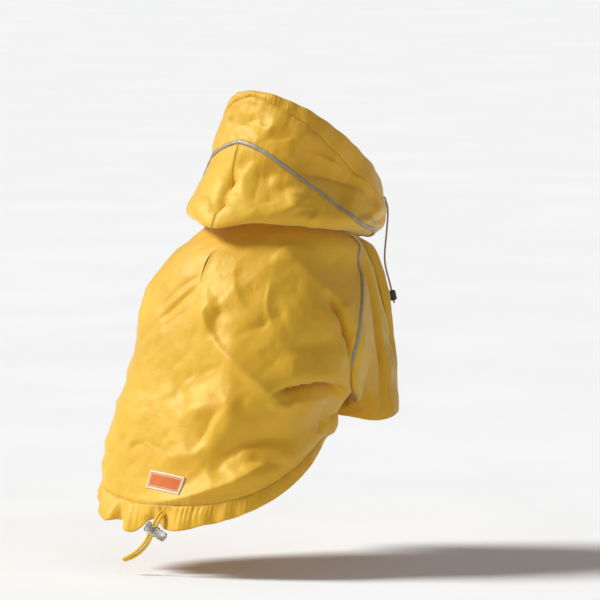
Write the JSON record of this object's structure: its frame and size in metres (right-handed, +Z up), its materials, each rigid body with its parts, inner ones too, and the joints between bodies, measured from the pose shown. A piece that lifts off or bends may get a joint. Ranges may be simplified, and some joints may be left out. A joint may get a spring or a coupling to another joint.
{
  "type": "dog raincoat",
  "caption": "Hooded yellow dog raincoat with raglan sleeves, grey reflective piping, leash slit and a drawcord hem, held open in its worn shape.",
  "frame": {"origin": "middle of the neck opening, where the wearer's neck passes through", "axes": "the chest faces -Y, the wearer's right is -X and +Z is up, with the wearer sitting"},
  "size_m": [0.2388, 0.3119, 0.4356],
  "materials": {
    "yellow_nylon": "crisp coated nylon, semi-gloss",
    "reflective_piping": "grey reflective tape",
    "orange_label": "woven, matte",
    "taupe_cord": "thin braided cord",
    "yellow_elastic": "braided elastic cord",
    "black_plastic": "moulded",
    "clear_plastic": "clear moulded"
  },
  "bodies": {
    "root": {"back_panel": "yellow_nylon", "chest_panel": "yellow_nylon", "sleeve_right": "yellow_nylon", "sleeve_left": "yellow_nylon", "hem_casing": "yellow_nylon", "hood_back_right": "yellow_nylon", "hood_back_left": "yellow_nylon", "hood_front": "yellow_nylon", "hood_casing": "yellow_nylon", "hood_piping": "reflective_piping", "raglan_piping_right": "reflective_piping", "raglan_piping_left": "reflective_piping", "label": "orange_label", "hood_cord_right": "taupe_cord", "hood_cord_left": "taupe_cord", "hood_lock_right": "black_plastic", "hood_lock_left": "black_plastic", "hem_cord_a": "yellow_elastic", "hem_cord_b": "yellow_elastic", "hem_lock_barrel": "clear_plastic", "hem_lock_plunger": "clear_plastic"}
  },
  "joints": []
}
